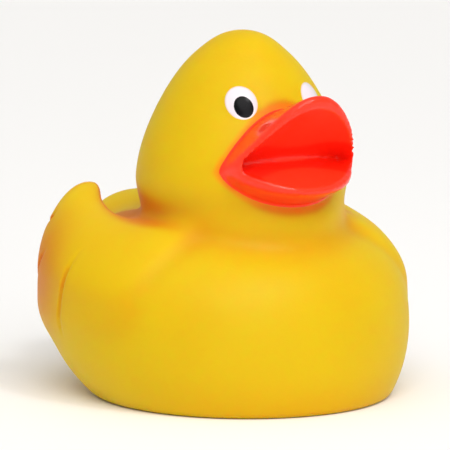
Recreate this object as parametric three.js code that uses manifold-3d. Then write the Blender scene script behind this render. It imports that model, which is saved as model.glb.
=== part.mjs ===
// A bath duck: one hollow moulding in soft vinyl with its bill open, and the whistle plug in its base.
// Millimetres, +Z up. The duck faces -Y and rests on Z = 0, with the origin at the middle of its base.
import * as THREE from "three";
import { mergeVertices } from "three/addons/utils/BufferGeometryUtils.js";
import Module from "manifold-3d";

// Driving dimensions. "Ahead" is a distance towards the bill, measured from the middle of the hull. Levels
// are measured from near the lowest point of the hull's full curve, and the form is then lifted to stand
// on its flat base.
const middleAhead = -1; // the middle of the whole length
const lift = 1; // from the flat base up to the zero of the levels
const wallThickness = 2.0;
const hull = {
  halfWidth: 41.8, halfLength: 44, level: 18.3, above: 24.5, below: 32.7,
  fullnessAbove: 2.24, fullnessBelow: 2.02, keelLead: 7,
};
const tail = { ahead: -33.1, level: 28.4, halfWidth: 17.2, halfLength: 17, halfThickness: 8.5, pitch: 38 };
const backHollow = { ahead: -12, level: 54.3, halfWidth: 19, halfLength: 24, halfHeight: 17 };
const wing = {
  reach: 42.7, halfLength: 45, ahead: -1.1, halfSpan: 23.8, thickness: 7.4, rootLevel: 43, rootGain: 0.45,
  leanLevel: 24.8, leanTilt: 0.1, lean: 0.039, leanAhead: 0.0006, tuckLevel: 20, tuck: 0.05,
  ridge: 38.9, ridgeTilt: 0.09, riseFrom: 6, rise: 0.28, riseBlend: 4, tipAhead: -5, tipRise: 0.012,
  lowerEdge: 12.8, lowerTilt: 0.2,
  edgeBlend: 11, endBlend: 12, faceBlend: 5, rimBlend: 7,
};
const head = {
  ahead: 7.6, level: 50.3, radius: 24.6, above: 32, below: 16.6, taper: 0.135, taperFrom: -6, taperTo: 27,
};
const crown = { ahead: 8.4, level: 76.5, halfWidth: 8.2, halfLength: 9.4, halfHeight: 6.3 };
const neck = { ahead: 10.5, level: 41.3, halfWidth: 20.6, halfLength: 23, halfHeight: 14 };
const bill = {
  ahead: 26, slit: 55.2, slitDroop: 0.0035, upperRadius: 16.7, lowerRadius: 15.8, sideFrom: -4, sideTo: 3,
  archHalfWidth: 15.8, archSpread: 0.11, archLeast: -0.3, upperRise: 10.8, upperTilt: 0.33,
  chinHalfWidth: 17.6, lowerDrop: 12.6, lowerTilt: 0.42, edgeBlend: 1, sideBlend: 3,
};
const mouth = {
  ahead: 29.3, bow: 0.014, palateRise: 13.4, palateDepth: 13, palateCurve: 0.7, floorDrop: 5, floorDepth: 11,
  creaseBlend: 0.4,
};
const eye = {
  across: 9.3, ahead: 23.4, level: 68.3, halfWidth: 4.6, halfHeight: 5.3, depth: 3.2, proud: 0.6, lean: 27,
};
const eyeOutward = [0.455, 0.781, 0.428]; // square to the head at the left eye: left, ahead, up
const eyeAway = [0.864, -0.503, 0]; // round the head from the left eye: left, ahead, up
const whistle = {
  holeRadius: 7, gap: 0.3, barrelRadius: 5, barrelTop: 10, barbRadius: 8, bore: 1.5, recess: 0.4,
  bevel: 0.5, barbEdge: 0.6, barbRise: 2.2,
};

const blend = {
  tail: 12, back: 8, wing: 3, neck: 5, head: 8, crown: 3, bill: 1.5, mouth: 1.2, eye: 0.8, base: 1.8,
};

// Factors that keep each field near its true distance.
const scale = {
  sheet: 0.85, skull: 0.9, ridge: 0.93, lowerEdge: 0.98, lip: 0.93, palate: 0.7, floor: 0.9, throat: 0.8,
};

const outerCell = 3.5; // grid pitch of the skin away from the bill
const billCell = 2.0; // grid pitch of the skin along and up the bill
const acrossCell = 2.5; // grid pitch of the skin across the bill
const billSpan = { halfWidth: 18, y: [-46, -23], z: [43, 74] }; // where the fine pitches hold
const halfSpan = 46.8; // half the width that the grid covers
const ySpan = [-52, 54]; // the length that both grids cover
const topSpan = 87; // the height that both grids reach
const innerCell = 5.4; // grid pitch of the skin inside the hollow
const crossingTurns = 5; // turns of closing in on a crossing along a grid edge
const settleTurns = 12; // turns of moving each vertex towards the planes that meet in its cell
const slopeReach = 0.05; // half the distance over which a slope is measured
const baseSnap = 0.03; // vertices under this height lie on the flat of the base
const tiny = 1e-6; // keeps divisions and roots away from zero

const wasm = await Module();
wasm.setup();

// Soft joins between fields. A field is negative inside a shape, and near its distance in millimetres.
function softMin(a, b, blend) {
  const share = Math.max(blend - Math.abs(a - b), 0) / blend;
  return Math.min(a, b) - (share ** 3 * blend) / 6;
}

function softMax(a, b, blend) {
  return -softMin(-a, -b, blend);
}

function ellipsoid(x, y, z, rx, ry, rz) {
  const near = Math.hypot(x / rx, y / ry, z / rz) + tiny;
  const slope = Math.hypot(x / rx ** 2, y / ry ** 2, z / rz ** 2) + tiny;
  return (near * (near - 1)) / slope;
}

// An ellipsoid whose sides stand fuller than round: fullness 2 is a plain ellipsoid.
function fullEllipsoid(x, y, z, rx, ry, rz, fullness) {
  const across = Math.hypot(x / rx, y / ry) + tiny;
  const rise = Math.abs(z / rz) + tiny;
  const size = (across ** fullness + rise ** fullness) ** (1 / fullness);
  const acrossSlope = (across / size) ** (fullness - 1) / across;
  const riseSlope = (rise / size) ** (fullness - 1) / rz;
  const flat = Math.hypot(x / rx ** 2, y / ry ** 2) * acrossSlope;
  return (size - 1) / (Math.hypot(flat, riseSlope) + tiny);
}

function hullField(x, ahead, z) {
  const lead = hull.keelLead * Math.max(1 - z / (hull.keelLead + hull.level), 0) ** 2;
  const halfHeight = z > hull.level ? hull.above : hull.below;
  const fullness = z > hull.level ? hull.fullnessAbove : hull.fullnessBelow;
  const { halfWidth, halfLength, level } = hull;
  return fullEllipsoid(x, ahead - lead, z - level, halfWidth, halfLength, halfHeight, fullness);
}

function tailField(x, ahead, z) {
  const pitch = THREE.MathUtils.degToRad(tail.pitch);
  const back = ahead - tail.ahead;
  const up = z - tail.level;
  const along = back * Math.cos(pitch) - up * Math.sin(pitch);
  const over = back * Math.sin(pitch) + up * Math.cos(pitch);
  return ellipsoid(x, along, over, tail.halfWidth, tail.halfLength, tail.halfThickness);
}

// The wings: plates laid on a sheet that leans in as it rises, cut to the outline seen from the side.
function wingField(x, ahead, z) {
  const up = Math.max(z - wing.leanLevel + wing.leanTilt * ahead, 0);
  const down = Math.max(wing.tuckLevel - z, 0);
  const leaning = (wing.lean + wing.leanAhead * ahead) * up ** 2;
  const reach = Math.max(wing.reach - leaning - wing.tuck * down ** 2, 2);
  const across = Math.hypot(x / reach, (ahead - wing.ahead) / wing.halfLength);
  const sheet = (across - 1) * reach * scale.sheet;
  const behindTip = Math.max(wing.tipAhead - ahead, 0);
  const rise = softMax(wing.rise * (wing.riseFrom - ahead), 0, wing.riseBlend);
  const ridge = wing.ridge + wing.ridgeTilt * ahead + rise + wing.tipRise * behindTip ** 2;
  const lowerEdge = wing.lowerEdge + wing.lowerTilt * ahead;
  const heights = softMax((z - ridge) * scale.ridge, (lowerEdge - z) * scale.lowerEdge, wing.edgeBlend);
  const outline = softMax(heights, Math.abs(ahead - wing.ahead) - wing.halfSpan, wing.endBlend);
  const thickness = wing.thickness + wing.rootGain * Math.max(wing.rootLevel - z, 0);
  const plate = softMax(sheet, -(sheet + thickness), wing.faceBlend);
  return softMax(plate, outline, wing.rimBlend);
}

function headField(x, ahead, z) {
  const rise = THREE.MathUtils.smoothstep(z, head.level + head.taperFrom, head.level + head.taperTo);
  const narrowing = 1 - head.taper * rise;
  const halfHeight = z > head.level ? head.above : head.below;
  const forward = (ahead - head.ahead) / narrowing;
  const skull = ellipsoid(x / narrowing, forward, z - head.level, head.radius, head.radius, halfHeight);
  const { halfWidth, halfLength, halfHeight: crownHeight } = crown;
  const tuft = ellipsoid(x, ahead - crown.ahead, z - crown.level, halfWidth, halfLength, crownHeight);
  return softMin(skull * scale.skull, tuft, blend.crown);
}

// The bill is one block, arched across. The open mouth is cut into it as a wedge from the throat.
function billFields(x, ahead, z) {
  const forward = ahead - bill.ahead;
  const slit = bill.slit - bill.slitDroop * x ** 2;
  const archHalfWidth = bill.archHalfWidth + bill.archSpread * forward;
  const arch = Math.max(1 - (x / archHalfWidth) ** 2, bill.archLeast);
  const chinArch = Math.max(1 - (x / bill.chinHalfWidth) ** 2, bill.archLeast);
  const top = slit + arch * (bill.upperRise + bill.upperTilt * forward);
  const bottom = slit - chinArch * (bill.lowerDrop - bill.lowerTilt * forward);
  const upperShare = THREE.MathUtils.smoothstep(z, bill.slit + bill.sideFrom, bill.slit + bill.sideTo);
  const radius = THREE.MathUtils.lerp(bill.lowerRadius, bill.upperRadius, upperShare);
  const heights = softMax((z - top) * scale.lip, (bottom - z) * scale.lip, bill.edgeBlend);
  const block = softMax(heights, Math.hypot(x, forward) - radius, bill.sideBlend);

  const throat = mouth.ahead - mouth.bow * x ** 2;
  const depth = Math.max(ahead - throat, 0);
  const opening = (depth / mouth.palateDepth + tiny) ** mouth.palateCurve;
  const palate = slit + arch * mouth.palateRise * opening;
  const floor = slit - chinArch * mouth.floorDrop * (depth / mouth.floorDepth);
  const wedge = softMax((z - palate) * scale.palate, (floor - z) * scale.floor, mouth.creaseBlend);
  return { block, gape: softMax(wedge, (throat - ahead) * scale.throat, mouth.creaseBlend) };
}

// A low dome under each painted eye, square to the side of the head and leaning out at its top.
function eyeField(x, ahead, z) {
  const outward = new THREE.Vector3(...eyeOutward);
  const away = new THREE.Vector3(...eyeAway);
  const upward = new THREE.Vector3().crossVectors(away, outward);
  const offset = new THREE.Vector3(Math.abs(x) - eye.across, ahead - eye.ahead, z - eye.level);
  const lean = THREE.MathUtils.degToRad(eye.lean);
  const side = offset.dot(away);
  const rise = offset.dot(upward);
  const wide = side * Math.cos(lean) - rise * Math.sin(lean);
  const tall = side * Math.sin(lean) + rise * Math.cos(lean);
  const out = offset.dot(outward) + eye.depth - eye.proud;
  return ellipsoid(wide, tall, out, eye.halfWidth, eye.halfHeight, eye.depth);
}

function backHollowField(x, ahead, z) {
  const { halfWidth, halfLength, halfHeight } = backHollow;
  return ellipsoid(x, ahead - backHollow.ahead, z - backHollow.level, halfWidth, halfLength, halfHeight);
}

function neckField(x, ahead, z) {
  return ellipsoid(x, ahead - neck.ahead, z - neck.level, neck.halfWidth, neck.halfLength, neck.halfHeight);
}

function duckField(x, y, height) {
  const ahead = middleAhead - y;
  const z = height - lift;
  const { block, gape } = billFields(x, ahead, z);
  let field = softMin(hullField(x, ahead, z), tailField(x, ahead, z), blend.tail);
  field = softMax(field, -backHollowField(x, ahead, z), blend.back);
  field = softMin(field, wingField(x, ahead, z), blend.wing);
  field = softMin(field, softMin(neckField(x, ahead, z), headField(x, ahead, z), blend.neck), blend.head);
  field = softMin(field, block, blend.bill);
  field = softMax(field, -gape, blend.mouth);
  field = softMin(field, eyeField(x, ahead, z), blend.eye);
  return softMax(field, -height, blend.base);
}

// Grid lines from low to high, at the fine pitch between fineLow and fineHigh and the coarse pitch elsewhere.
function gridLines(low, high, fineLow, fineHigh, fine, coarse) {
  const lines = [low];
  while (lines.at(-1) < high) {
    const last = lines.at(-1);
    lines.push(last + (last >= fineLow && last < fineHigh ? fine : coarse));
  }
  return lines;
}

function slopeOf(field, x, y, z) {
  const h = slopeReach;
  return new THREE.Vector3(
    field(x + h, y, z) - field(x - h, y, z),
    field(x, y + h, z) - field(x, y - h, z),
    field(x, y, z + h) - field(x, y, z - h),
  ).divideScalar(2 * h);
}

// Where the field crosses zero between a low and a high grid point, and its slope there.
function crossing(field, low, high, lowValue, highValue) {
  let [a, b] = [0, 1];
  let [valueA, valueB] = [lowValue, highValue];
  const point = new THREE.Vector3();
  for (let turn = 0; turn < crossingTurns; turn++) {
    const share = turn % 2 ? (a + b) / 2 : a + (b - a) * (valueA / (valueA - valueB));
    point.lerpVectors(low, high, share);
    const value = field(point.x, point.y, point.z);
    if (value < 0 === valueA < 0) [a, valueA] = [share, value];
    else [b, valueB] = [share, value];
  }
  return { point, normal: slopeOf(field, point.x, point.y, point.z).normalize() };
}

// The corners of a grid cell as offsets along x, y and z, and its edges from a low corner along one axis.
const cellCorners = [0, 1, 2, 3, 4, 5, 6, 7].map((c) => [c & 1, (c >> 1) & 1, c >> 2]);
const cellEdges = cellCorners
  .flatMap((_, corner) => [0, 1, 2].map((axis) => ({ corner, axis, far: corner | (1 << axis) })))
  .filter(({ corner, far }) => corner !== far);

// The edges of one cell that the skin crosses, in groups: each group bounds one sheet of the skin.
function sheetsInCell(values) {
  const crossed = cellEdges.filter(({ corner, far }) => values[corner] < 0 !== values[far] < 0);
  const group = new Map(crossed.map((edge) => [edge, edge]));
  const join = (from, to) => crossed.forEach((edge) => group.get(edge) === from && group.set(edge, to));
  for (let axis = 0; axis < 3; axis++) {
    for (const side of [0, 1]) {
      const onFace = (corner) => cellCorners[corner][axis] === side;
      const edges = crossed.filter(({ corner, far }) => onFace(corner) && onFace(far));
      const middle = values.reduce((sum, value, corner) => sum + (onFace(corner) ? value : 0), 0);
      for (const one of edges) {
        for (const other of edges) {
          const shared = [one.corner, one.far].find((c) => c === other.corner || c === other.far);
          const cutsCorner = shared !== undefined && values[shared] < 0 !== middle < 0;
          if (edges.length === 2 || cutsCorner) join(group.get(one), group.get(other));
        }
      }
    }
  }
  return [...new Set(group.values())].map((name) => crossed.filter((edge) => group.get(edge) === name));
}

// A closed skin where the field is zero: one vertex for each sheet in a grid cell, and a pair of
// triangles for each grid edge that the skin crosses.
function skinOver(field, xs, ys, zs) {
  const lines = [xs, ys, zs];
  const step = [1, xs.length, xs.length * ys.length];
  const value = new Float64Array(xs.length * ys.length * zs.length);
  const vertexOf = new Map();
  const positions = [];
  const triangles = [];
  const spot = (i, j, k) => i + j * step[1] + k * step[2];
  zs.forEach((z, k) => ys.forEach((y, j) => xs.forEach((x, i) => (value[spot(i, j, k)] = field(x, y, z)))));

  function addVertex(cell, here, values, sheet) {
    const cornerPoint = (corner) =>
      new THREE.Vector3(...lines.map((line, n) => line[cell[n] + cellCorners[corner][n]]));
    const planes = sheet.map(({ corner, far }) =>
      crossing(field, cornerPoint(corner), cornerPoint(far), values[corner], values[far]),
    );
    const middle = new THREE.Vector3();
    planes.forEach(({ point }) => middle.addScaledVector(point, 1 / planes.length));
    const vertex = middle.clone();
    for (let turn = 0; turn < settleTurns; turn++) {
      const pull = new THREE.Vector3();
      for (const { point, normal } of planes) {
        pull.addScaledVector(normal, normal.dot(point) - normal.dot(vertex));
      }
      vertex.addScaledVector(pull, 1 / planes.length);
    }
    const point = vertex.clamp(cornerPoint(0), cornerPoint(7));
    if (point.z < baseSnap) point.z = 0;
    sheet.forEach(({ corner, axis }) => vertexOf.set((here * 8 + corner) * 3 + axis, positions.length / 3));
    positions.push(point.x, point.y, point.z);
  }

  for (let k = 0; k < zs.length - 1; k++) {
    for (let j = 0; j < ys.length - 1; j++) {
      for (let i = 0; i < xs.length - 1; i++) {
        const values = cellCorners.map(([a, b, c]) => value[spot(i + a, j + b, k + c)]);
        if (values.every((v) => v < 0) || values.every((v) => v >= 0)) continue;
        sheetsInCell(values).forEach((sheet) => addVertex([i, j, k], spot(i, j, k), values, sheet));
      }
    }
  }

  const distance = (p, q) => Math.hypot(...[0, 1, 2].map((n) => positions[3 * p + n] - positions[3 * q + n]));
  for (let here = 0; here < value.length; here++) {
    for (let axis = 0; axis < 3; axis++) {
      const inside = value[here] < 0;
      if (here + step[axis] >= value.length || inside === value[here + step[axis]] < 0) continue;
      const [u, v] = [(axis + 1) % 3, (axis + 2) % 3];
      const around = [[1, 1], [0, 1], [0, 0], [1, 0]];
      const ring = around.map(([du, dv]) => {
        const cell = here - du * step[u] - dv * step[v];
        const corner = (du << u) | (dv << v);
        return vertexOf.get((cell * 8 + corner) * 3 + axis);
      });
      if (!inside) ring.reverse();
      const [a, b, c, d] = ring;
      if (distance(a, c) < distance(b, d)) triangles.push(a, b, c, a, c, d);
      else triangles.push(a, b, d, b, c, d);
    }
  }

  const geometry = new THREE.BufferGeometry();
  geometry.setAttribute("position", new THREE.Float32BufferAttribute(positions, 3));
  geometry.setIndex(triangles);
  return geometry;
}

function solidFrom(geometry) {
  const bare = geometry.clone();
  bare.deleteAttribute("normal");
  bare.deleteAttribute("uv");
  const merged = mergeVertices(bare, 1e-4);
  return new wasm.Manifold(
    new wasm.Mesh({
      numProp: 3,
      vertProperties: new Float32Array(merged.attributes.position.array),
      triVerts: new Uint32Array(merged.index.array),
    }),
  );
}

function geometryFrom(solid) {
  const { vertProperties, triVerts } = solid.getMesh();
  const geometry = new THREE.BufferGeometry();
  geometry.setAttribute("position", new THREE.BufferAttribute(new Float32Array(vertProperties), 3));
  geometry.setIndex(new THREE.BufferAttribute(new Uint32Array(triVerts), 1));
  geometry.computeVertexNormals();
  return geometry;
}

// The hole takes the whistle, and lies a little ahead of the middle, under the middle of the flat.
const holeY = middleAhead - hull.keelLead;

function shellGeometry() {
  const outer = skinOver(
    duckField,
    gridLines(-halfSpan, halfSpan, -billSpan.halfWidth, billSpan.halfWidth, acrossCell, outerCell),
    gridLines(...ySpan, ...billSpan.y, billCell, outerCell),
    gridLines(-4, topSpan, ...billSpan.z, billCell, outerCell),
  );
  const inner = skinOver(
    (x, y, z) => duckField(x, y, z) + wallThickness,
    gridLines(-48, 48, 0, 0, innerCell, innerCell),
    gridLines(...ySpan, 0, 0, innerCell, innerCell),
    gridLines(-7, topSpan, 0, 0, innerCell, innerCell),
  );
  const hole = new THREE.CylinderGeometry(whistle.holeRadius, whistle.holeRadius, 3 * wallThickness, 48);
  hole.rotateX(Math.PI / 2).translate(0, holeY, wallThickness / 2);
  const pockets = solidFrom(inner).decompose();
  pockets.sort((a, b) => b.volume() - a.volume());
  const hollow = pockets[0]; // the lips and wing tips are solid, so the small pockets in them are left out
  return geometryFrom(solidFrom(outer).subtract(hollow).subtract(solidFrom(hole)));
}

// A turned profile: a face just inside the base, a barb behind the wall, and a barrel with its air bore.
function whistleGeometry() {
  const { holeRadius, gap, barrelRadius, barrelTop, barbRadius, bore, recess, bevel } = whistle;
  const barb = wallThickness + gap;
  const faceRadius = holeRadius - gap;
  const profile = [
    [bore, recess],
    [faceRadius - bevel, recess],
    [faceRadius, recess + bevel],
    [faceRadius, barb],
    [barbRadius, barb],
    [barbRadius, barb + whistle.barbEdge],
    [barrelRadius, barb + whistle.barbRise],
    [barrelRadius, barrelTop - bevel],
    [barrelRadius - bevel, barrelTop],
    [bore, barrelTop],
    [bore, recess],
  ];
  const points = profile.map(([r, z]) => new THREE.Vector2(r, z));
  return new THREE.LatheGeometry(points, 40).rotateX(Math.PI / 2);
}

const duck = new THREE.Group();

const vinyl = new THREE.MeshStandardMaterial({ color: "#f6cf28", roughness: 0.42, metalness: 0 });
const shell = new THREE.Mesh(shellGeometry(), vinyl);
shell.name = "duck_shell";
duck.add(shell);

const hardPlastic = new THREE.MeshStandardMaterial({ color: "#f0efe8", roughness: 0.35, metalness: 0 });
const plug = new THREE.Mesh(whistleGeometry(), hardPlastic);
plug.name = "squeaker";
plug.position.set(0, holeY, 0);
duck.add(plug);

export default duck;
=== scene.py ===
import math

import bmesh
import bpy
import numpy as np
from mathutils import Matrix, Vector


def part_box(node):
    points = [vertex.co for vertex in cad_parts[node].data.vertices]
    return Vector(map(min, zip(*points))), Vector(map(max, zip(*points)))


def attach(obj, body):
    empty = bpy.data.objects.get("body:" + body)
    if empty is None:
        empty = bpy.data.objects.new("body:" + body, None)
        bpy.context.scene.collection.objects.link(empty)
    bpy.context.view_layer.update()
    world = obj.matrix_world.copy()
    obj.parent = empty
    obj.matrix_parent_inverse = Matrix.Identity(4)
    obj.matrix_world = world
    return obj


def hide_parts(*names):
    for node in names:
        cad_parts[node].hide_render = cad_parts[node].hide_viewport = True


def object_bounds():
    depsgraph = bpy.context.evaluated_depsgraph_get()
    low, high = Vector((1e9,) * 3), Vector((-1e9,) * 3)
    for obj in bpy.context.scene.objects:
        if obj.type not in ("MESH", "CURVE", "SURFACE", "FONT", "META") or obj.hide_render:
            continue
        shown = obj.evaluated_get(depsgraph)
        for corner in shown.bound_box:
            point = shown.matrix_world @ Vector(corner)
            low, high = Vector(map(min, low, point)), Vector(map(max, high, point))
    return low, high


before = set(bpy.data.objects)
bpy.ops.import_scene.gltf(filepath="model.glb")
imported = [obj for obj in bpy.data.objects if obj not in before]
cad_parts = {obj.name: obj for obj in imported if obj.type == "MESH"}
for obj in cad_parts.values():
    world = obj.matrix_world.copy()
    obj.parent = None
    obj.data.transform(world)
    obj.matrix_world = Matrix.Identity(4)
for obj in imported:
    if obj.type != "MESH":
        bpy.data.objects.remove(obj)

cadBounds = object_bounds()
mm = 0.001

tiny = 1e-6    # keeps powers and divisions away from zero

# The forms are in millimetres. "Ahead" runs towards the bill, and levels are counted from a plane that lies
# one lift over the flat base. The scales keep each field close to a distance.
hull = {"halfWidth": 41.8, "halfLength": 44, "level": 18.3, "above": 24.5, "below": 32.7, "fullness": 2.24,
        "fullnessBelow": 2.02, "keelLead": 7}
tail = {"ahead": -33.1, "level": 28.4, "halfWidth": 17.2, "halfLength": 17, "halfThickness": 8.5, "pitch": 38}
backHollow = {"ahead": -12, "level": 54.3, "halfWidth": 19, "halfLength": 24, "halfHeight": 17}
head = {"ahead": 7.6, "level": 50.3, "radius": 24.6, "above": 32, "below": 16.6, "taper": 0.135,
        "taperFrom": -6, "taperTo": 27, "scale": 0.9}
crown = {"ahead": 8.4, "level": 76.5, "halfWidth": 8.2, "halfLength": 9.4, "halfHeight": 6.3}
neck = {"ahead": 10.5, "level": 41.3, "halfWidth": 20.6, "halfLength": 23, "halfHeight": 14}

wing = {
    "reach": 42.7, "halfLength": 45, "ahead": -1.1, "halfSpan": 23.8, "thickness": 7.4, "rootLevel": 43,
    "rootGain": 0.45, "leanLevel": 24.8, "leanTilt": 0.1, "lean": 0.039, "leanAhead": 0.0006,
    "tuckLevel": 20, "tuck": 0.05, "leastReach": 2, "ridge": 38.9, "ridgeTilt": 0.09, "riseFrom": 6,
    "rise": 0.28, "riseBlend": 4, "tipAhead": -5, "tipRise": 0.012, "lowerEdge": 12.8, "lowerTilt": 0.2,
    "sheetScale": 0.85, "ridgeScale": 0.93, "lowerScale": 0.98,
    "heightBlend": 11, "endBlend": 12, "faceBlend": 5, "rimBlend": 7,
}
feather = {    # the grooves that mark the feathers: rear end and front end as (ahead, level)
    "grooves": [((-2.2, 13.5), (2.3, 35.5)), ((-21.8, 22.6), (-13, 33)), ((-24.5, 33.5), (-18, 40.5))],
    "halfWidth": 1.0, "depth": 0.7, "bow": 0.7, "rearFade": (-0.05, 0.1), "frontFade": (0.55, 1.05),
}
bill = {
    "ahead": 26, "slit": 55.2, "slitDroop": 0.0035, "upperRadius": 16.7, "lowerRadius": 15.8, "sideFrom": -4,
    "sideTo": 3, "archHalfWidth": 15.8, "archSpread": 0.11, "upperRise": 10.8, "upperTilt": 0.33,
    "chinHalfWidth": 17.6, "lowerDrop": 12.6, "lowerTilt": 0.42, "paintOverlap": 0.5,
    "leastArch": -0.3, "scale": 0.93, "heightBlend": 1, "sideBlend": 3,
}
mouth = {
    "halfWidth": 14.4, "creaseBlend": 0.9, "cornerBlend": 2.5, "ahead": 29.3, "bow": 0.014,
    "palateRise": 13.4, "palateDepth": 13, "palateCurve": 0.7, "floorDrop": 5, "floorDepth": 11,
    "palateScale": 0.7, "floorScale": 0.9, "throatScale": 0.8,
}
eye = {
    "across": 9.3, "ahead": 23.4, "level": 68.3, "outward": (0.455, 0.781, 0.428), "away": (0.864, -0.503, 0),
    "lean": 27, "domeHalfWidth": 4.6, "domeHalfHeight": 5.3, "domeDepth": 3.2, "proud": 0.6,
    "whiteHalfWidth": 3.55, "whiteHalfHeight": 4.2, "pupilHalfWidth": 2.15, "pupilHalfHeight": 2.6,
    "pupilAway": -0.56, "pupilUp": -1.16, "leftPupilDrop": 1.8,    # the left pupil is printed a little low
    "paintDepth": 4,    # keeps the paint off the other side of the head
}
join = {"tail": 12, "back": 8, "wing": 3, "neck": 5, "head": 8, "crown": 3, "bill": 1.5, "mouth": 1.2,
        "eye": 0.8, "base": 1.8}
moulding = {
    "middleAhead": -1, "lift": 1, "voxel": 0.65, "hollowVoxel": 1.8, "margin": 2.4, "wall": 2,
    # The crease reach sets how far out the skin is probed for the shade painted into its creases.
    "holeRadius": 7, "holeSegments": 96, "holeCut": 6, "shadeReach": 5.0, "creaseAngle": 55,
}
settling = {"slopeStep": 0.03, "leastSlope": 0.3, "reach": 0.5}
lips = {"within": 1.0, "beyond": 2.0, "rounds": 4}    # near the open mouth: full smoothing, and none
paintedAreas = ("BillPaint", "EyeWhite", "Pupil")


class Value:
    # A socket of a node tree that can be used in sums, with plain numbers on either side.
    def __init__(self, tree, socket=None):
        self.tree = tree
        self.socket = socket

    def node(self, kind, settings=None, inputs=None, output=0):
        made = self.tree.nodes.new(kind)
        for name, setting in (settings or {}).items():
            setattr(made, name, setting)
        for key, value in (inputs or {}).items():
            if isinstance(value, Value):
                self.tree.links.new(value.socket, made.inputs[key])
            else:
                made.inputs[key].default_value = value
        return Value(self.tree, made.outputs[output])

    def math(self, operation, *others):
        return self.node("ShaderNodeMath", {"operation": operation}, dict(enumerate([self, *others])))

    def vector(self, operation, other=(0, 0, 0), output=0):
        return self.node("ShaderNodeVectorMath", {"operation": operation}, {0: self, 1: other}, output)

    def scaled(self, factor):
        return self.node("ShaderNodeVectorMath", {"operation": "SCALE"}, {0: self, "Scale": factor})

    def parts(self):
        split = self.node("ShaderNodeSeparateXYZ", inputs={0: self}).socket.node
        return [Value(self.tree, socket) for socket in split.outputs]

    def ramp(self, low, high):
        sockets = {"Value": self, "From Min": low, "From Max": high}
        return self.node("ShaderNodeMapRange", {"interpolation_type": "SMOOTHSTEP"}, sockets)

    def __add__(self, other):
        return self.math("ADD", other)

    def __radd__(self, other):
        return self.math("ADD", other)

    def __sub__(self, other):
        return self.math("SUBTRACT", other)

    def __rsub__(self, other):
        return self.node("ShaderNodeMath", {"operation": "SUBTRACT"}, {0: other, 1: self})

    def __mul__(self, other):
        return self.math("MULTIPLY", other)

    def __rmul__(self, other):
        return self.math("MULTIPLY", other)

    def __truediv__(self, other):
        return self.math("DIVIDE", other)

    def __pow__(self, power):
        return self.math("POWER", power)

    def __neg__(self):
        return self.math("MULTIPLY", -1)

    def __abs__(self):
        return self.math("ABSOLUTE")


def hypot(a, b, c=0):
    together = a.node("ShaderNodeCombineXYZ", inputs={0: a, 1: b, 2: c})
    return together.vector("LENGTH", output=1)


def softMin(a, b, blend):
    return a.math("SMOOTH_MIN", b, blend)


def softMax(a, b, blend):
    return a.math("SMOOTH_MAX", b, blend)


# Fields are negative inside a form and close to the distance from it outside.
def ellipsoidField(x, y, z, across, along, above, below=None):
    high = z.math("MAXIMUM", 0)
    low = z.math("MINIMUM", 0)
    below = below or above
    near = hypot(x / across, y / along, high / above + low / below)
    slope = hypot(x / across ** 2, y / along ** 2, high / above ** 2 + low / below ** 2)
    return near * (near - 1) / slope


def hullField(x, ahead, z):
    keel = (1 - z / (hull["keelLead"] + hull["level"])).math("MAXIMUM", 0)
    forward = ahead - hull["keelLead"] * keel ** 2
    up = z - hull["level"]
    isAbove = up.math("GREATER_THAN", 0)
    steepness = 1 / hull["below"] + isAbove * (1 / hull["above"] - 1 / hull["below"])
    width, length = hull["halfWidth"], hull["halfLength"]
    fullness = hull["fullnessBelow"] + isAbove * (hull["fullness"] - hull["fullnessBelow"])
    across = hypot(x / width, forward / length) + tiny
    rise = abs(up * steepness) + tiny
    size = (across ** fullness + rise ** fullness) ** (fullness ** -1)
    acrossSlope = (across / size) ** (fullness - 1) / across * hypot(x / width ** 2, forward / length ** 2)
    riseSlope = (rise / size) ** (fullness - 1) * steepness
    return (size - 1) / hypot(acrossSlope, riseSlope)


def tailField(x, ahead, z):
    pitch = math.radians(tail["pitch"])
    back = ahead - tail["ahead"]
    up = z - tail["level"]
    along = back * math.cos(pitch) - up * math.sin(pitch)
    over = back * math.sin(pitch) + up * math.cos(pitch)
    return ellipsoidField(x, along, over, tail["halfWidth"], tail["halfLength"], tail["halfThickness"])


# How deep the feather grooves go at a point on the side of a wing.
def featherDepth(ahead, z):
    total = None
    for (rearAhead, rearLevel), (frontAhead, frontLevel) in feather["grooves"]:
        length = math.hypot(frontAhead - rearAhead, frontLevel - rearLevel)
        alongAhead, alongUp = (frontAhead - rearAhead) / length, (frontLevel - rearLevel) / length
        run = ((ahead - rearAhead) * alongAhead + (z - rearLevel) * alongUp) / length
        offset = (z - rearLevel) * alongAhead - (ahead - rearAhead) * alongUp
        bowed = offset - run * (1 - run) * (4 * feather["bow"])    # the whole bow is reached halfway
        section = 1 - abs(bowed).ramp(0, feather["halfWidth"])
        fade = run.ramp(*feather["rearFade"]) * (1 - run.ramp(*feather["frontFade"]))
        depth = section * fade * feather["depth"]
        total = depth if total is None else total + depth
    return total


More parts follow.
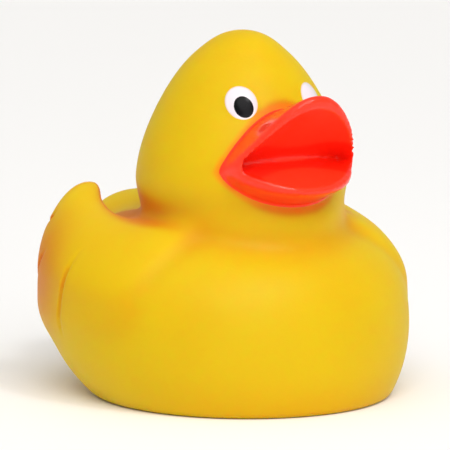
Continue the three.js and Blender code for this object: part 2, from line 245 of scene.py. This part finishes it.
# The wings are plates laid on a sheet that leans in as it rises, cut to the outline seen from the side.
def wingField(x, ahead, z):
    up = (z - wing["leanLevel"] + ahead * wing["leanTilt"]).math("MAXIMUM", 0)
    down = (wing["tuckLevel"] - z).math("MAXIMUM", 0)
    reach = wing["reach"] - (ahead * wing["leanAhead"] + wing["lean"]) * up ** 2 - down ** 2 * wing["tuck"]
    reach = reach.math("MAXIMUM", wing["leastReach"])
    across = hypot(x / reach, (ahead - wing["ahead"]) / wing["halfLength"])
    sheet = (across - 1) * reach * wing["sheetScale"]
    behindTip = (wing["tipAhead"] - ahead).math("MAXIMUM", 0)
    rise = softMax((wing["riseFrom"] - ahead) * wing["rise"], ahead * 0, wing["riseBlend"])
    ridge = wing["ridge"] + ahead * wing["ridgeTilt"] + rise + behindTip ** 2 * wing["tipRise"]
    lowerEdge = wing["lowerEdge"] + ahead * wing["lowerTilt"]
    over, under = (z - ridge) * wing["ridgeScale"], (lowerEdge - z) * wing["lowerScale"]
    heights = softMax(over, under, wing["heightBlend"])
    outline = softMax(heights, abs(ahead - wing["ahead"]) - wing["halfSpan"], wing["endBlend"])
    thickness = wing["thickness"] + (wing["rootLevel"] - z).math("MAXIMUM", 0) * wing["rootGain"]
    plate = softMax(sheet, -(sheet + thickness), wing["faceBlend"])
    return softMax(plate, outline, wing["rimBlend"]) + featherDepth(ahead, z)


def headField(x, ahead, z):
    rise = z.ramp(head["level"] + head["taperFrom"], head["level"] + head["taperTo"])
    narrowing = 1 - rise * head["taper"]
    radius = head["radius"]
    forward = (ahead - head["ahead"]) / narrowing
    up = z - head["level"]
    skull = ellipsoidField(x / narrowing, forward, up, radius, radius, head["above"], head["below"])
    skull = skull * head["scale"]
    size = (crown["halfWidth"], crown["halfLength"], crown["halfHeight"])
    tuft = ellipsoidField(x, ahead - crown["ahead"], z - crown["level"], *size)
    return softMin(skull, tuft, join["crown"])


# The bill is one block, arched across. The open mouth is cut into it as a wedge from the throat.
def billFields(x, ahead, z):
    forward = ahead - bill["ahead"]
    slit = bill["slit"] - x ** 2 * bill["slitDroop"]
    archWidth = bill["archHalfWidth"] + forward * bill["archSpread"]
    arch = (1 - (x / archWidth) ** 2).math("MAXIMUM", bill["leastArch"])
    chinArch = (1 - (x / bill["chinHalfWidth"]) ** 2).math("MAXIMUM", bill["leastArch"])
    top = slit + arch * (bill["upperRise"] + forward * bill["upperTilt"])
    bottom = slit - chinArch * (bill["lowerDrop"] - forward * bill["lowerTilt"])
    upperShare = z.ramp(bill["slit"] + bill["sideFrom"], bill["slit"] + bill["sideTo"])
    radius = bill["lowerRadius"] + upperShare * (bill["upperRadius"] - bill["lowerRadius"])
    heights = softMax((z - top) * bill["scale"], (bottom - z) * bill["scale"], bill["heightBlend"])
    block = softMax(heights, hypot(x, forward) - radius, bill["sideBlend"])

    throat = mouth["ahead"] - x ** 2 * mouth["bow"]
    depth = (ahead - throat).math("MAXIMUM", 0)
    palateShape = (depth / mouth["palateDepth"] + tiny) ** mouth["palateCurve"]
    palate = slit + arch * mouth["palateRise"] * palateShape
    floor = slit - chinArch * depth * (mouth["floorDrop"] / mouth["floorDepth"])
    over, under = (z - palate) * mouth["palateScale"], (floor - z) * mouth["floorScale"]
    gape = softMax(over, under, mouth["creaseBlend"])
    gape = softMax(gape, (throat - ahead) * mouth["throatScale"], mouth["creaseBlend"])
    return block, softMax(gape, abs(x) - mouth["halfWidth"], mouth["cornerBlend"])


def eyeFields(x, ahead, z):
    outward = Vector(eye["outward"])
    away = Vector(eye["away"])
    upward = away.cross(outward)
    lean = math.radians(eye["lean"])
    wideAxis = away * math.cos(lean) - upward * math.sin(lean)
    tallAxis = away * math.sin(lean) + upward * math.cos(lean)
    sockets = {0: abs(x) - eye["across"], 1: ahead - eye["ahead"], 2: z - eye["level"]}
    offset = x.node("ShaderNodeCombineXYZ", inputs=sockets)
    wide = offset.vector("DOT_PRODUCT", wideAxis, 1)
    tall = offset.vector("DOT_PRODUCT", tallAxis, 1)
    out = offset.vector("DOT_PRODUCT", outward, 1)

    size = (eye["domeHalfWidth"], eye["domeHalfHeight"], eye["domeDepth"])
    dome = ellipsoidField(wide, tall, out + eye["domeDepth"] - eye["proud"], *size)
    behind = -eye["paintDepth"] - out
    halfWidth, halfHeight = eye["whiteHalfWidth"], eye["whiteHalfHeight"]
    white = (hypot(wide / halfWidth, tall / halfHeight) - 1) * halfWidth
    pupilCentre = away * eye["pupilAway"] + upward * eye["pupilUp"]
    drop = x.math("GREATER_THAN", 0) * eye["leftPupilDrop"]
    wide = wide - pupilCentre.dot(wideAxis) + drop * upward.dot(wideAxis)
    tall = tall - pupilCentre.dot(tallAxis) + drop * upward.dot(tallAxis)
    halfWidth, halfHeight = eye["pupilHalfWidth"], eye["pupilHalfHeight"]
    pupil = (hypot(wide / halfWidth, tall / halfHeight) - 1) * halfWidth
    return dome, white.math("MAXIMUM", behind), pupil.math("MAXIMUM", behind)


def addSockets(tree, inputs, outputs):
    for name, kind in inputs:
        tree.interface.new_socket(name=name, in_out="INPUT", socket_type=kind)
    for name, kind in outputs:
        tree.interface.new_socket(name=name, in_out="OUTPUT", socket_type=kind)


# One group holds the whole form: its outputs are the outer skin, the hollow inside and the painted areas.
def buildDuckField():
    tree = bpy.data.node_groups.new("duckField", "GeometryNodeTree")
    outputs = ["Skin", "Hollow", "BillPaint", "Mouth", "EyeWhite", "Pupil"]
    addSockets(tree, [("Place", "NodeSocketVector")], [(name, "NodeSocketFloat") for name in outputs])
    place = Value(tree).node("NodeGroupInput")
    x, y, z = place.parts()
    ahead = moulding["middleAhead"] - y
    z = z - moulding["lift"]

    body = softMin(hullField(x, ahead, z), tailField(x, ahead, z), join["tail"])
    size = (backHollow["halfWidth"], backHollow["halfLength"], backHollow["halfHeight"])
    scoop = ellipsoidField(x, ahead - backHollow["ahead"], z - backHollow["level"], *size)
    body = softMax(body, -scoop, join["back"])
    size = (neck["halfWidth"], neck["halfLength"], neck["halfHeight"])
    collar = ellipsoidField(x, ahead - neck["ahead"], z - neck["level"], *size)
    skull = headField(x, ahead, z)
    block, gape = billFields(x, ahead, z)
    dome, white, pupil = eyeFields(x, ahead, z)

    skull = softMin(skull, collar, join["neck"])

    skin = softMin(softMin(body, wingField(x, ahead, z), join["wing"]), skull, join["head"])
    skin = softMin(skin, block, join["bill"])
    skin = softMax(skin, -gape, join["mouth"])
    skin = softMin(skin, dome, join["eye"])
    underside = -z - moulding["lift"]
    skin = softMax(skin, underside, join["base"])
    hollow = softMax(softMin(body, skull, join["head"]), -gape, join["mouth"])
    hollow = softMax(hollow, underside, join["base"])

    results = [skin, hollow + moulding["wall"], block - bill["paintOverlap"], gape, white, pupil]
    ends = tree.nodes.new("NodeGroupOutput")
    for result, socket in zip(results, ends.inputs):
        tree.links.new(result.socket, socket)
    return tree


duckField = buildDuckField()
print("form: the fields of the duck are set up")


def fieldAt(place, name):
    return place.node("GeometryNodeGroup", {"node_tree": duckField}, {"Place": place}, name)


# Moves every point of a mesh onto the zero of a field, along the field's slope.
def settleOnField(mesh, name):
    start = Value(mesh.tree)
    place = start.node("GeometryNodeInputPosition")
    here = fieldAt(place, name)
    step = settling["slopeStep"]
    shifts = ((step, 0, 0), (0, step, 0), (0, 0, step))
    rises = [fieldAt(place.vector("ADD", shift), name) - here for shift in shifts]
    slope = start.node("ShaderNodeCombineXYZ", inputs=dict(enumerate(rises))).scaled(1 / step)
    steep = slope.vector("DOT_PRODUCT", slope, 1).math("MAXIMUM", settling["leastSlope"])
    pull = (here / steep).math("MAXIMUM", -settling["reach"]).math("MINIMUM", settling["reach"])
    return start.node("GeometryNodeSetPosition", inputs={"Geometry": mesh, "Offset": slope.scaled(-pull)})


def meshOfField(ends, name, voxel):
    start = Value(ends.tree)
    place = start.node("GeometryNodeInputPosition")
    low, high = (Value(ends.tree, ends.socket.node.outputs[corner]) for corner in ("Low", "High"))
    sockets = {"Density": -fieldAt(place, name), "Background": -1.0, "Min": low, "Max": high}
    for axis, span in zip("XYZ", high.vector("SUBTRACT", low).parts()):
        sockets["Resolution " + axis] = span / voxel
    volume = start.node("GeometryNodeVolumeCube", inputs=sockets)
    mesh = start.node("GeometryNodeVolumeToMesh", inputs={"Volume": volume, "Threshold": 0.0})
    return settleOnField(settleOnField(mesh, name), name)


# Rounds the thin rims of the open mouth, which the grid of voxels leaves a little stepped.
def smoothLips(mesh):
    start = Value(mesh.tree)
    place = start.node("GeometryNodeInputPosition")
    nearMouth = 1 - abs(fieldAt(place, "Mouth")).ramp(lips["within"], lips["beyond"])
    sockets = {"Value": place, "Iterations": lips["rounds"], "Weight": nearMouth}
    smooth = start.node("GeometryNodeBlurAttribute", {"data_type": "FLOAT_VECTOR"}, sockets)
    return start.node("GeometryNodeSetPosition", inputs={"Geometry": mesh, "Position": smooth})


# The moulding: the skin is meshed from its field, then the hollow and the hole for the whistle are cut out.
def buildMouldingTree():
    tree = bpy.data.node_groups.new("mouldDuck", "GeometryNodeTree")
    inputs = [
        ("Geometry", "NodeSocketGeometry"), ("Low", "NodeSocketVector"), ("High", "NodeSocketVector"),
        ("Voxel", "NodeSocketFloat"), ("Hollow Voxel", "NodeSocketFloat"), ("Hole Radius", "NodeSocketFloat"),
        ("Hole Place", "NodeSocketVector"), ("Material", "NodeSocketMaterial"),
    ]
    addSockets(tree, inputs, [("Geometry", "NodeSocketGeometry")])
    ends = Value(tree).node("NodeGroupInput")
    given = {socket.name: Value(tree, socket) for socket in ends.socket.node.outputs}
    skin = smoothLips(meshOfField(ends, "Skin", given["Voxel"]))
    hollow = meshOfField(ends, "Hollow", given["Hollow Voxel"])
    sockets = {"Vertices": moulding["holeSegments"], "Radius": given["Hole Radius"],
               "Depth": moulding["holeCut"]}
    cylinder = ends.node("GeometryNodeMeshCylinder", inputs=sockets)
    sockets = {"Geometry": cylinder, "Translation": given["Hole Place"]}
    hole = ends.node("GeometryNodeTransform", inputs=sockets)
    settings = {"operation": "DIFFERENCE", "solver": "MANIFOLD"}
    hollowed = ends.node("GeometryNodeMeshBoolean", settings, {"Mesh 1": skin, "Mesh 2": hollow})
    shell = ends.node("GeometryNodeMeshBoolean", settings, {"Mesh 1": hollowed, "Mesh 2": hole})

    place = ends.node("GeometryNodeInputPosition")
    for name in paintedAreas:
        sockets = {"Geometry": shell, "Name": name, "Value": fieldAt(place, name)}
        shell = ends.node("GeometryNodeStoreNamedAttribute", {"data_type": "FLOAT"}, sockets)
    # Painted shade: how hemmed in each point is, stored so that the creases can be painted deeper orange
    # where shade falls.
    outward = ends.node("GeometryNodeInputNormal")
    reach = moulding["shadeReach"]
    clear = fieldAt(place.vector("ADD", outward.scaled(reach)), "Skin") / reach
    sockets = {"Geometry": shell, "Name": "CreaseShade", "Value": 1 - clear}
    shell = ends.node("GeometryNodeStoreNamedAttribute", {"data_type": "FLOAT"}, sockets)

    shell = ends.node("GeometryNodeTransform", inputs={"Geometry": shell, "Scale": (mm, mm, mm)})
    shell = ends.node("GeometryNodeSetShadeSmooth", inputs={"Geometry": shell})
    shell = ends.node("GeometryNodeRealizeInstances", inputs={"Geometry": shell})
    shell = ends.node("GeometryNodeSetMaterial", inputs={"Geometry": shell, "Material": given["Material"]})
    finish = tree.nodes.new("NodeGroupOutput")
    tree.links.new(shell.socket, finish.inputs[0])
    return tree


# Runs a tree on an empty object and returns the plain mesh that it makes.
def meshFromTree(name, tree, inputs):
    carrier = bpy.data.objects.new(name, bpy.data.meshes.new(name))
    bpy.context.scene.collection.objects.link(carrier)
    modifier = carrier.modifiers.new("make", "NODES")
    modifier.node_group = tree
    identifiers = {item.name: item.identifier for item in tree.interface.items_tree if item.in_out == "INPUT"}
    for key, value in inputs.items():
        modifier[identifiers[key]] = value
    evaluated = carrier.evaluated_get(bpy.context.evaluated_depsgraph_get())
    made = bpy.data.meshes.new_from_object(evaluated, preserve_all_data_layers=True,
                                           depsgraph=bpy.context.evaluated_depsgraph_get())
    carrier.modifiers.remove(modifier)
    carrier.data = made
    return carrier


# Cuts every triangle that a painted border crosses, so that each colour ends on edges of the mesh.
def cutAtBorder(points, triangles, fields, name):
    level = fields[name]
    inside = level[triangles] < 0
    mixed = inside.any(1) & ~inside.all(1)
    kept = triangles[~mixed]
    crossing = {}
    extra = []
    made = []

    def pointBetween(a, b):
        key = (min(a, b), max(a, b))
        if key not in crossing:
            share = level[key[0]] / (level[key[0]] - level[key[1]])
            crossing[key] = len(points) + len(extra)
            extra.append((key[0], key[1], share))
        return crossing[key]

    for a, b, c in triangles[mixed]:
        while (level[a] < 0) == (level[b] < 0) or (level[a] < 0) == (level[c] < 0):
            a, b, c = b, c, a    # a is on its own side
        ab, ac = pointBetween(a, b), pointBetween(a, c)
        made += [(a, ab, ac), (ab, b, c), (ab, c, ac)]

    starts, stops, shares = (np.array(column) for column in zip(*extra))
    blended = {key: np.append(values, values[starts] + (values[stops] - values[starts]) * shares)
               for key, values in fields.items()}
    blended[name][len(points):] = 0
    between = points[starts] + (points[stops] - points[starts]) * shares[:, None]
    return np.vstack([points, between]), np.vstack([kept, made]), blended


def trianglesOf(mesh):
    mesh.calc_loop_triangles()
    points = np.empty(len(mesh.vertices) * 3)
    mesh.vertices.foreach_get("co", points)
    corners = np.empty(len(mesh.loop_triangles) * 3, np.int64)
    mesh.loop_triangles.foreach_get("vertices", corners)
    return points.reshape(-1, 3), corners.reshape(-1, 3)


def attributeOf(mesh, name):
    values = np.empty(len(mesh.vertices))
    mesh.attributes[name].data.foreach_get("value", values)
    return values


# The painted moulding: faces take the vinyl, the bill paint, or the white or black of the eyes.
def paintMoulding(mesh, paints):
    points, triangles = trianglesOf(mesh)
    fields = {name: attributeOf(mesh, name) for name in (*paintedAreas, "CreaseShade")}
    for name in paintedAreas:
        points, triangles, fields = cutAtBorder(points, triangles, fields, name)
    painted = bpy.data.meshes.new("duckSkin")
    painted.from_pydata(points.tolist(), [], triangles.tolist())
    # The crease measure goes along for the shade painted into the creases.
    for name in ("BillPaint", "EyeWhite", "CreaseShade"):
        painted.attributes.new(name, "FLOAT", "POINT").data.foreach_set("value", fields[name])
    slot = np.zeros(len(triangles), np.int32)
    for index, name in enumerate(paintedAreas, 1):
        slot[fields[name][triangles].mean(1) < 0] = index
    for paint in paints:
        painted.materials.append(paint)
    painted.polygons.foreach_set("material_index", slot)
    painted.polygons.foreach_set("use_smooth", np.ones(len(triangles), bool))
    painted.validate()
    painted.set_sharp_from_angle(angle=math.radians(moulding["creaseAngle"]))
    return painted


def linear(red, green, blue):
    shares = [value / 255 for value in (red, green, blue)]
    curve = [share / 12.92 if share <= 0.04045 else ((share + 0.055) / 1.055) ** 2.4 for share in shares]
    return (*curve, 1)


def newMaterial(name, constants):
    material = bpy.data.materials.new(name)
    material.use_nodes = True
    material.node_tree.nodes.clear()
    start = Value(material.node_tree)
    surface = start.node("ShaderNodeBsdfPrincipled", inputs=constants)
    output = material.node_tree.nodes.new("ShaderNodeOutputMaterial")
    material.node_tree.links.new(surface.socket, output.inputs["Surface"])
    material.diffuse_color = constants["Base Color"]
    return material, start, surface.socket.node


def mixColours(share, first, second):
    settings = {"data_type": "RGBA", "blend_type": "MIX"}
    return share.node("ShaderNodeMix", settings, {0: share, 6: first, 7: second}, 2)


def noise(start, place, scale, detail=2):
    sockets = {"Vector": place, "Scale": scale, "Detail": detail, "Roughness": 0.5}
    return start.node("ShaderNodeTexNoise", inputs=sockets)


def bumped(start, height, paint, surface):
    sockets = {"Height": height, "Distance": paint["grainDepth"], "Strength": paint["grainStrength"]}
    normal = start.node("ShaderNodeBump", inputs=sockets)
    start.tree.links.new(normal.socket, surface.inputs["Normal"])


def attribute(start, name):
    return start.node("ShaderNodeAttribute", {"attribute_name": name}, output="Fac")


def plug(start, value, surface, name):
    start.tree.links.new(value.socket, surface.inputs[name])


# Places, reaches and grain depths are in metres here. The mist's and the edge's ranges are in millimetres.
vinyl = {
    "yellow": linear(217, 181, 12), "deepYellow": linear(208, 92, 0), "mist": linear(252, 116, 24),
    "roughness": 0.48, "cloudRoughness": 0.16, "speckRoughness": 0.08, "specular": 0.12,
    "glow": 0.8, "glowColour": (1.0, 0.28, 0.04), "glowReach": 0.005,
    # The crease range and tint paint shade into the creases, as deeper orange.
    "cloudScale": 28, "speckScale": 420, "cloudTint": 0.5, "creaseShadeRange": (0.0, 0.6), "creaseShadeTint": 0.78,
    # The wing orange deepens the rear of each wing's side.
    "wingOrangePlace": (0.039, 0.015, 0.028), "wingOrangeReach": 0.021, "wingOrangeRange": (0.1, 1), "wingOrangeTint": 0.68,
    "mistRange": (0.0005, 1.9), "mistBase": 0.55, "mistSpeck": 0.5, "mistTint": 0.75,
    "grainScale": 1500, "grainSpeck": 0.6, "grainDepth": 0.00005, "grainStrength": 0.35,
}
billPaint = {
    # The darker red, with its range and tint, paints shade into the deep parts of the open mouth.
    "red": linear(255, 52, 24), "shadeRed": linear(246, 26, 6), "roughness": 0.32, "cloudRoughness": 0.12,
    "coat": 0.32, "cloudScale": 90, "mouthShadeRange": (0.35, 0.6), "mouthShadeTint": 0.8,
    "grainScale": 260, "grainDepth": 0.0001, "grainStrength": 0.25,
}
eyePaint = {
    "white": linear(226, 218, 225), "edge": linear(214, 186, 160), "black": linear(8, 7, 11),
    "whiteRoughness": 0.24, "whiteCloud": 0.1, "whiteCloudScale": 300, "edgeRange": (0.0, 0.45),
    "edgeTint": 0.6, "blackRoughness": 0.2, "blackCloud": 0.16, "blackCloudScale": 350,
    "grainScale": 500, "grainDepth": 0.00006, "grainStrength": 0.2,
}
whistlePlastic = {
    "ivory": linear(238, 236, 226), "dull": linear(224, 216, 196), "dullTint": 0.3, "roughness": 0.34,
    "cloudRoughness": 0.14, "cloudScale": 200, "grainScale": 900, "grainDepth": 0.00004,
    "grainStrength": 0.25,
}


def vinylMaterial():
    constants = {
        "Base Color": vinyl["yellow"], "Roughness": vinyl["roughness"], "IOR": 1.5,
        "Specular IOR Level": vinyl["specular"], "Subsurface Weight": vinyl["glow"],
        "Subsurface Radius": vinyl["glowColour"], "Subsurface Scale": vinyl["glowReach"],
    }
    material, start, surface = newMaterial("vinylYellow", constants)
    place = start.node("ShaderNodeTexCoord", output="Object")
    cloud = noise(start, place, vinyl["cloudScale"], 3)
    speck = noise(start, place, vinyl["speckScale"])
    # Painted shade: the creases turn deeper orange where shade falls in them.
    creaseShade = attribute(start, "CreaseShade").ramp(*vinyl["creaseShadeRange"])
    tone = mixColours(creaseShade * vinyl["creaseShadeTint"], vinyl["yellow"], vinyl["deepYellow"])
    tone = mixColours((cloud - 0.5) * vinyl["cloudTint"], tone, vinyl["deepYellow"])
    # Deeper orange towards the rear of each wing's side, mirrored to both sides.
    x, y, z = place.parts()
    mirrored = start.node("ShaderNodeCombineXYZ", inputs={0: abs(x), 1: y, 2: z})
    away = mirrored.vector("DISTANCE", vinyl["wingOrangePlace"], 1) / vinyl["wingOrangeReach"]
    wingOrange = 1 - away.ramp(*vinyl["wingOrangeRange"])
    tone = mixColours(wingOrange * vinyl["wingOrangeTint"], tone, vinyl["deepYellow"])
    nearBill = 1 - attribute(start, "BillPaint").ramp(*vinyl["mistRange"])
    mist = nearBill * (vinyl["mistBase"] + speck * vinyl["mistSpeck"])
    tone = mixColours(mist.math("MINIMUM", 1) * vinyl["mistTint"], tone, vinyl["mist"])
    plug(start, tone, surface, "Base Color")
    roughness = vinyl["roughness"] + (cloud - 0.5) * vinyl["cloudRoughness"]
    plug(start, roughness + (speck - 0.5) * vinyl["speckRoughness"], surface, "Roughness")
    grain = noise(start, place, vinyl["grainScale"]) + speck * vinyl["grainSpeck"]
    bumped(start, grain, vinyl, surface)
    return material


def billPaintMaterial():
    constants = {
        "Base Color": billPaint["red"], "Roughness": billPaint["roughness"], "IOR": 1.5,
        "Specular IOR Level": 0.2,
        "Coat Weight": billPaint["coat"], "Coat Roughness": 0.07, "Coat IOR": 1.45,
        "Subsurface Weight": 0.15, "Subsurface Radius": (1.0, 0.12, 0.03), "Subsurface Scale": 0.003,
    }
    material, start, surface = newMaterial("billPaint", constants)
    place = start.node("ShaderNodeTexCoord", output="Object")
    cloud = noise(start, place, billPaint["cloudScale"])
    # Painted shade: the deep parts of the mouth turn darker red.
    mouthShade = attribute(start, "CreaseShade").ramp(*billPaint["mouthShadeRange"])
    tone = mixColours(mouthShade * billPaint["mouthShadeTint"], billPaint["red"], billPaint["shadeRed"])
    plug(start, tone, surface, "Base Color")
    roughness = billPaint["roughness"] + (cloud - 0.5) * billPaint["cloudRoughness"]
    plug(start, roughness, surface, "Roughness")
    bumped(start, noise(start, place, billPaint["grainScale"]), billPaint, surface)
    return material


def eyeWhiteMaterial():
    constants = {"Base Color": eyePaint["white"], "Roughness": 0.28, "IOR": 1.5, "Coat Weight": 0.4,
                 "Coat Roughness": 0.1}
    material, start, surface = newMaterial("eyeWhitePaint", constants)
    place = start.node("ShaderNodeTexCoord", output="Object")
    cloud = noise(start, place, eyePaint["whiteCloudScale"])
    edge = 1 - (0 - attribute(start, "EyeWhite")).ramp(*eyePaint["edgeRange"])
    tone = mixColours(edge * eyePaint["edgeTint"], eyePaint["white"], eyePaint["edge"])
    plug(start, tone, surface, "Base Color")
    plug(start, eyePaint["whiteRoughness"] + cloud * eyePaint["whiteCloud"], surface, "Roughness")
    bumped(start, noise(start, place, eyePaint["grainScale"]), eyePaint, surface)
    return material


def pupilMaterial():
    constants = {"Base Color": eyePaint["black"], "Roughness": 0.3, "IOR": 1.4, "Specular IOR Level": 0.1,
                 "Coat Weight": 0.05, "Coat Roughness": 0.12}
    material, start, surface = newMaterial("pupilPaint", constants)
    place = start.node("ShaderNodeTexCoord", output="Object")
    cloud = noise(start, place, eyePaint["blackCloudScale"])
    plug(start, eyePaint["blackRoughness"] + cloud * eyePaint["blackCloud"], surface, "Roughness")
    bumped(start, noise(start, place, eyePaint["grainScale"]), eyePaint, surface)
    return material


def whistleMaterial():
    constants = {"Base Color": whistlePlastic["ivory"], "Roughness": whistlePlastic["roughness"], "IOR": 1.46,
                 "Subsurface Weight": 0.1, "Subsurface Radius": (1.0, 0.8, 0.6), "Subsurface Scale": 0.001}
    material, start, surface = newMaterial("whistleIvory", constants)
    place = start.node("ShaderNodeTexCoord", output="Object")
    cloud = noise(start, place, whistlePlastic["cloudScale"], 3)
    tone = mixColours(cloud * whistlePlastic["dullTint"], whistlePlastic["ivory"], whistlePlastic["dull"])
    plug(start, tone, surface, "Base Color")
    roughness = whistlePlastic["roughness"] + (cloud - 0.5) * whistlePlastic["cloudRoughness"]
    plug(start, roughness, surface, "Roughness")
    bumped(start, noise(start, place, whistlePlastic["grainScale"]), whistlePlastic, surface)
    return material


paints = [vinylMaterial(), billPaintMaterial(), eyeWhiteMaterial(), pupilMaterial()]

low, high = (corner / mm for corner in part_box("duck_shell"))
margin = Vector([moulding["margin"]] * 3)
holeMiddle = sum(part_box("squeaker"), Vector()) / 2 / mm
duck = meshFromTree("duckSkin", buildMouldingTree(), {
    "Low": low - margin, "High": high + margin, "Voxel": moulding["voxel"],
    "Hollow Voxel": moulding["hollowVoxel"], "Hole Radius": float(moulding["holeRadius"]),
    "Hole Place": (holeMiddle.x, holeMiddle.y, moulding["wall"] / 2), "Material": paints[0],
})
print("moulding:", len(duck.data.vertices), "points")
duck.data = paintMoulding(duck.data, paints)
print("paint borders cut:", len(duck.data.polygons), "triangles")
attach(duck, "root")
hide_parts("duck_shell")


# The whistle: a turned plug with its barb behind the wall, a rounded face and a sunk ring round the air bore.
whistle = {
    "segments": 96, "gap": 0.3, "barrelRadius": 5, "barrelTop": 10, "barbRadius": 8, "bore": 1.5,
    "recess": 0.4, "ringRadius": 4.4, "ringDepth": 0.5, "ringWidth": 1, "ringSlope": 0.2, "boreBevel": 0.3,
    "faceRound": 0.5, "faceSteps": 4, "barbThickness": 0.6, "barbTaper": 2.2, "barrelBevel": 0.5,
    "creaseAngle": 35,
}


def whistleProfile():
    face = moulding["holeRadius"] - whistle["gap"]
    barb = moulding["wall"] + whistle["gap"]
    recess, bore, barrel = whistle["recess"], whistle["bore"], whistle["barrelRadius"]
    ring, ringTop = whistle["ringRadius"], whistle["recess"] + whistle["ringDepth"]
    ringInside, ringSlope = ring - whistle["ringWidth"], whistle["ringSlope"]
    boreBevel, barrelBevel, rounding = whistle["boreBevel"], whistle["barrelBevel"], whistle["faceRound"]
    profile = [(bore + boreBevel, recess), (ringInside, recess), (ringInside + ringSlope, ringTop)]
    profile += [(ring, ringTop), (ring + ringSlope, recess)]
    for step in range(whistle["faceSteps"] + 1):    # the rounded edge of the face
        angle = math.radians(90 * step / whistle["faceSteps"])
        along = recess + rounding - rounding * math.cos(angle)
        profile.append((face - rounding + rounding * math.sin(angle), along))
    profile += [(face, barb), (whistle["barbRadius"], barb)]
    profile += [(whistle["barbRadius"], barb + whistle["barbThickness"])]
    profile += [(barrel, barb + whistle["barbTaper"])]
    profile += [(barrel, whistle["barrelTop"] - barrelBevel), (barrel - barrelBevel, whistle["barrelTop"])]
    profile += [(bore, whistle["barrelTop"]), (bore, recess + boreBevel)]
    return profile


def turnedMesh(name, profile, middle, segments):
    turned = bmesh.new()
    rings = []
    for step in range(segments):
        angle = 2 * math.pi * step / segments
        across, along = math.cos(angle), math.sin(angle)
        rings.append([turned.verts.new((middle.x + r * across * mm, middle.y + r * along * mm, z * mm))
                      for r, z in profile])
    for ring, following in zip(rings, rings[1:] + rings[:1]):
        for n in range(len(profile)):
            m = (n + 1) % len(profile)
            turned.faces.new((ring[n], following[n], following[m], ring[m]))
    bmesh.ops.recalc_face_normals(turned, faces=turned.faces)
    mesh = bpy.data.meshes.new(name)
    turned.to_mesh(mesh)
    turned.free()
    mesh.polygons.foreach_set("use_smooth", [True] * len(mesh.polygons))
    mesh.set_sharp_from_angle(angle=math.radians(whistle["creaseAngle"]))
    return mesh


plugMesh = turnedMesh("whistlePlug", whistleProfile(), holeMiddle * mm, whistle["segments"])
whistlePlug = bpy.data.objects.new("whistlePlug", plugMesh)
bpy.context.scene.collection.objects.link(whistlePlug)
whistlePlug.data.materials.append(whistleMaterial())
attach(whistlePlug, "root")
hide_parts("squeaker")
print("whistle turned")


# The studio is in metres and degrees, its lens in millimetres, and the aim's level is a share of the duck's
# height. A sun is (azimuth, elevation, softness, strength, colour), and the softbox is (azimuth, elevation,
# distance, size, power).
studio = {
    "azimuth": -30, "elevation": 8, "distance": 0.9, "lens": 310, "clipStart": 0.05, "clipEnd": 50,
    "aimLevel": 0.4515, "skyStrength": 0.46,
    "suns": [(-18, 40, 50, 1.85, (1, 0.985, 0.96)), (-62, 70, 70, 0.55, (1, 0.93, 0.84))],
    "softbox": (8, 52, 0.8, 0.16, 1.1),
    "floorSize": 12, "floorColour": (0.94, 0.94, 0.94, 1), "floorRoughness": 0.8, "floorSpecular": 0.2,
}


def directionFrom(azimuth, elevation):
    a, e = math.radians(azimuth), math.radians(elevation)
    return Vector((math.sin(a) * math.cos(e), -math.cos(a) * math.cos(e), math.sin(e)))


def addArea(name, azimuth, elevation, distance, size, power, colour, target):
    light = bpy.data.lights.new(name, "AREA")
    light.shape = "DISK"
    light.size = size
    light.energy = power
    light.color = colour
    placed = bpy.data.objects.new(name, light)
    placed.location = target + directionFrom(azimuth, elevation) * distance
    placed.rotation_euler = (target - placed.location).to_track_quat("-Z", "Y").to_euler()
    bpy.context.scene.collection.objects.link(placed)


def addSun(name, azimuth, elevation, softness, strength, colour):
    light = bpy.data.lights.new(name, "SUN")
    light.angle = math.radians(softness)
    light.energy = strength
    light.color = colour
    placed = bpy.data.objects.new(name, light)
    placed.rotation_euler = directionFrom(azimuth, elevation).to_track_quat("Z", "Y").to_euler()
    bpy.context.scene.collection.objects.link(placed)


def buildStudio():
    top = cadBounds[1][2]
    aim = Vector((0, moulding["middleAhead"] * mm, top * studio["aimLevel"]))
    camera = bpy.data.objects.new("camera", bpy.data.cameras.new("camera"))
    camera.data.lens = studio["lens"]
    camera.data.clip_start = studio["clipStart"]
    camera.data.clip_end = studio["clipEnd"]
    camera.location = aim + directionFrom(studio["azimuth"], studio["elevation"]) * studio["distance"]
    camera.rotation_euler = (aim - camera.location).to_track_quat("-Z", "Y").to_euler()
    bpy.context.scene.collection.objects.link(camera)
    bpy.context.scene.camera = camera

    for number, (azimuth, elevation, softness, strength, colour) in enumerate(studio["suns"]):
        addSun("skyPanel%d" % number, azimuth, elevation, softness, strength, colour)
    azimuth, elevation, distance, size, power = studio["softbox"]
    addArea("softbox", azimuth, elevation, distance, size, power, (1, 1, 1), aim)

    world = bpy.data.worlds.new("studioWorld")
    world.use_nodes = True
    bpy.context.scene.world = world
    background = world.node_tree.nodes["Background"]
    background.inputs["Color"].default_value = (1, 1, 1, 1)
    background.inputs["Strength"].default_value = studio["skyStrength"]

    half = studio["floorSize"] / 2
    sheet = bpy.data.meshes.new("floor")
    corners = [(-half, -half, 0), (half, -half, 0), (half, half, 0), (-half, half, 0)]
    sheet.from_pydata(corners, [], [(0, 1, 2, 3)])
    floor = bpy.data.objects.new("floor", sheet)
    bpy.context.scene.collection.objects.link(floor)
    constants = {"Base Color": studio["floorColour"], "Roughness": studio["floorRoughness"],
                 "Specular IOR Level": studio["floorSpecular"]}
    sheet.materials.append(newMaterial("paleFloor", constants)[0])
    bpy.context.scene.view_settings.view_transform = "Standard"


buildStudio()
print("studio set up")
